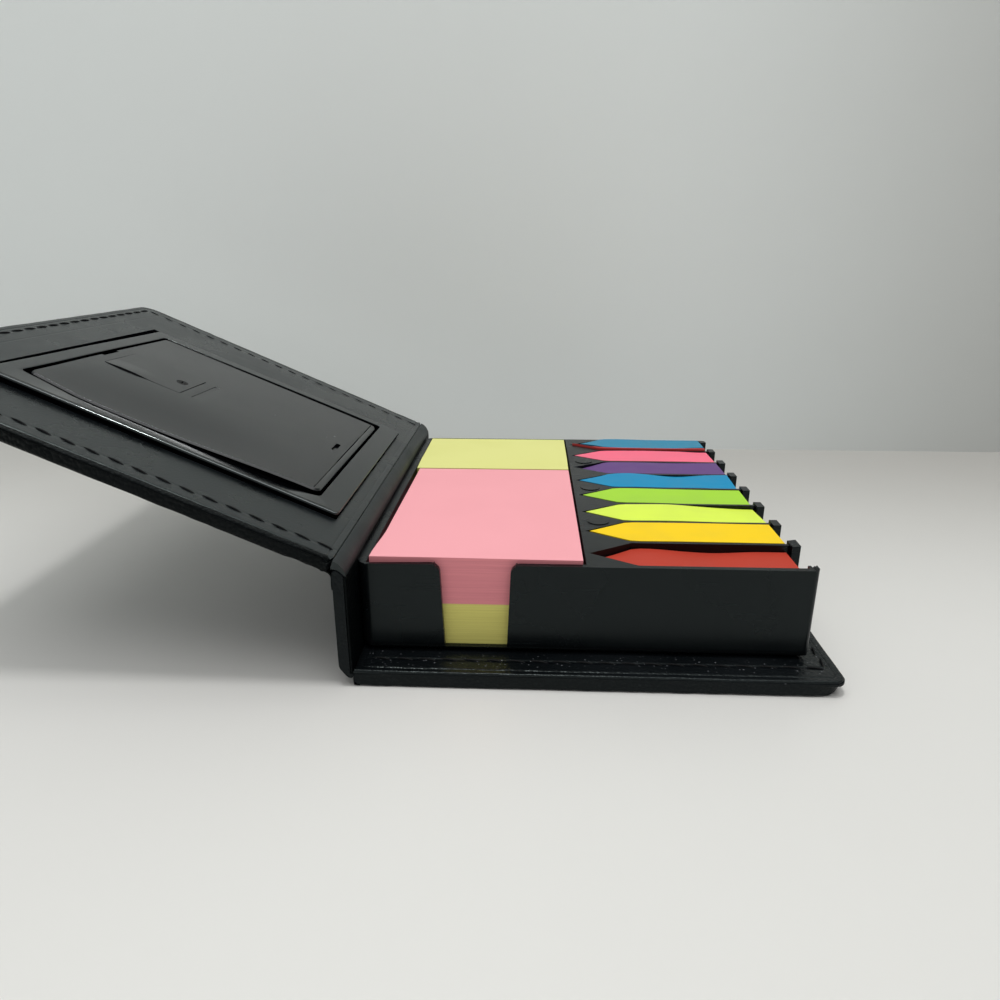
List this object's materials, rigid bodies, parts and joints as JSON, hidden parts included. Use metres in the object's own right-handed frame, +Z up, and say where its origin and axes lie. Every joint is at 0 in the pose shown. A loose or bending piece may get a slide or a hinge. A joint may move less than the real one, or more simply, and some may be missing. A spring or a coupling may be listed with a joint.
{
  "type": "sticky note organizer",
  "caption": "Leatherette-covered desk box with a folding lid that holds a clock, and a black tray of sticky note pads and arrow flags.",
  "frame": {"origin": "centre of the base panel's underside, where it stands on the desk", "axes": "+X towards the flags, away from the lid's fold; +Y towards the back; +Z up"},
  "size_m": [0.2239, 0.137, 0.0773],
  "materials": {
    "leatherette": "grained leatherette",
    "lining": "fine grain, satin",
    "greyboard": "raw board",
    "thread": "matte thread",
    "tray_plastic": "satin moulded",
    "pink_paper": "matte",
    "yellow_paper": "matte",
    "bezel_plastic": "satin with a polished rim",
    "cover_plastic": "fine spark texture",
    "shell_plastic": "gloss",
    "button_rubber": "matte",
    "lens_clear": "polished",
    "lcd_glass": "satin",
    "connector_rubber": "matte",
    "board_laminate": "solder mask",
    "steel": "zinc plated",
    "cell_metal": "polished",
    "contact_metal": "plated",
    "red_film": "satin film",
    "far_red_film": "satin film",
    "orange_film": "satin film",
    "lime_film": "satin film",
    "green_film": "satin film",
    "blue_film": "satin film",
    "far_blue_film": "satin film",
    "purple_film": "satin film",
    "pink_film": "satin film"
  },
  "bodies": {
    "stand": {"base_cover": "leatherette", "base_board": "greyboard", "base_lining": "lining", "base_stitching": "thread", "spine_cover": "leatherette", "spine_board": "greyboard", "spine_lining": "lining", "hinge_lining": "lining", "hinge_cover": "leatherette", "note_tray": "tray_plastic"},
    "lid": {"lid_cover": "leatherette", "lid_board": "greyboard", "lid_lining": "lining", "lid_stitching": "thread", "rear_bezel": "bezel_plastic", "front_shell": "shell_plastic", "clock_lens": "lens_clear", "lcd_panel": "lcd_glass", "lcd_connectors": "connector_rubber", "circuit_board": "board_laminate", "board_screws": "steel", "button_switches": "steel", "coin_cell": "cell_metal", "lower_contact": "contact_metal", "side_contact": "contact_metal", "rear_cover": "cover_plastic"},
    "front_lower_pad": {"front_lower_pad": "yellow_paper"},
    "front_upper_pad": {"front_upper_pad": "pink_paper"},
    "rear_lower_pad": {"rear_lower_pad": "yellow_paper"},
    "rear_upper_pad": {"rear_upper_pad": "yellow_paper"},
    "red_flag": {"red_flag": "red_film"},
    "orange_flag": {"orange_flag": "orange_film"},
    "lime_flag": {"lime_flag": "lime_film"},
    "green_flag": {"green_flag": "green_film"},
    "blue_flag": {"blue_flag": "blue_film"},
    "purple_flag": {"purple_flag": "purple_film"},
    "pink_flag": {"pink_flag": "pink_film"},
    "far_red_flag": {"far_red_flag": "far_red_film"},
    "far_blue_flag": {"far_blue_flag": "far_blue_film"},
    "set_button_1": {"set_button_1": "button_rubber"},
    "set_button_2": {"set_button_2": "button_rubber"},
    "set_button_3": {"set_button_3": "button_rubber"},
    "set_button_4": {"set_button_4": "button_rubber"},
    "battery_door": {"battery_door": "cover_plastic"},
    "door_screw": {"door_screw": "steel"}
  },
  "joints": [
    {"name": "lid_fold", "type": "hinge", "parent": "stand", "child": "lid", "pos_m": [-0.0589, 0, 0.031], "axis": [0, -1, 0], "range_deg": [-156.7, 0], "deforming": ["hinge_cover", "hinge_lining"]},
    {"name": "front_lower_pad_lift", "type": "slide", "parent": "stand", "child": "front_lower_pad", "axis": [0, 0, 1], "range_m": [0, 0.03]},
    {"name": "front_upper_pad_lift", "type": "slide", "parent": "front_lower_pad", "child": "front_upper_pad", "axis": [0, 0, 1], "range_m": [0, 0.03]},
    {"name": "rear_lower_pad_lift", "type": "slide", "parent": "stand", "child": "rear_lower_pad", "axis": [0, 0, 1], "range_m": [0, 0.03]},
    {"name": "rear_upper_pad_lift", "type": "slide", "parent": "rear_lower_pad", "child": "rear_upper_pad", "axis": [0, 0, 1], "range_m": [0, 0.03]},
    {"name": "red_flag_lift", "type": "slide", "parent": "stand", "child": "red_flag", "axis": [0, 0, 1], "range_m": [0, 0.012]},
    {"name": "orange_flag_lift", "type": "slide", "parent": "stand", "child": "orange_flag", "axis": [0, 0, 1], "range_m": [0, 0.012]},
    {"name": "lime_flag_lift", "type": "slide", "parent": "stand", "child": "lime_flag", "axis": [0, 0, 1], "range_m": [0, 0.012]},
    {"name": "green_flag_lift", "type": "slide", "parent": "stand", "child": "green_flag", "axis": [0, 0, 1], "range_m": [0, 0.012]},
    {"name": "blue_flag_lift", "type": "slide", "parent": "stand", "child": "blue_flag", "axis": [0, 0, 1], "range_m": [0, 0.012]},
    {"name": "purple_flag_lift", "type": "slide", "parent": "stand", "child": "purple_flag", "axis": [0, 0, 1], "range_m": [0, 0.012]},
    {"name": "pink_flag_lift", "type": "slide", "parent": "stand", "child": "pink_flag", "axis": [0, 0, 1], "range_m": [0, 0.012]},
    {"name": "far_red_flag_lift", "type": "slide", "parent": "stand", "child": "far_red_flag", "axis": [0, 0, 1], "range_m": [0, 0.012]},
    {"name": "far_blue_flag_lift", "type": "slide", "parent": "far_red_flag", "child": "far_blue_flag", "axis": [0, 0, 1], "range_m": [0, 0.012]},
    {"name": "battery_door_lift", "type": "slide", "parent": "lid", "child": "battery_door", "axis": [0.3955, 0, 0.9184], "range_m": [0, 0.01]},
    {"name": "door_screw_turn", "type": "hinge", "parent": "battery_door", "child": "door_screw", "pos_m": [-0.12104, -0.00165, 0.05989], "axis": [0.3955, 0, 0.9184], "range_deg": [0, 1440]},
    {"name": "set_button_1_press", "type": "slide", "parent": "lid", "child": "set_button_1", "axis": [0.3955, 0, 0.9184], "range_m": [0, 0.0005], "stiffness_N_per_m": 900, "springref_m": -0.0003},
    {"name": "set_button_2_press", "type": "slide", "parent": "lid", "child": "set_button_2", "axis": [0.3955, 0, 0.9184], "range_m": [0, 0.0005], "stiffness_N_per_m": 900, "springref_m": -0.0003},
    {"name": "set_button_3_press", "type": "slide", "parent": "lid", "child": "set_button_3", "axis": [0.3955, 0, 0.9184], "range_m": [0, 0.0005], "stiffness_N_per_m": 900, "springref_m": -0.0003},
    {"name": "set_button_4_press", "type": "slide", "parent": "lid", "child": "set_button_4", "axis": [0.3955, 0, 0.9184], "range_m": [0, 0.0005], "stiffness_N_per_m": 900, "springref_m": -0.0003}
  ]
}
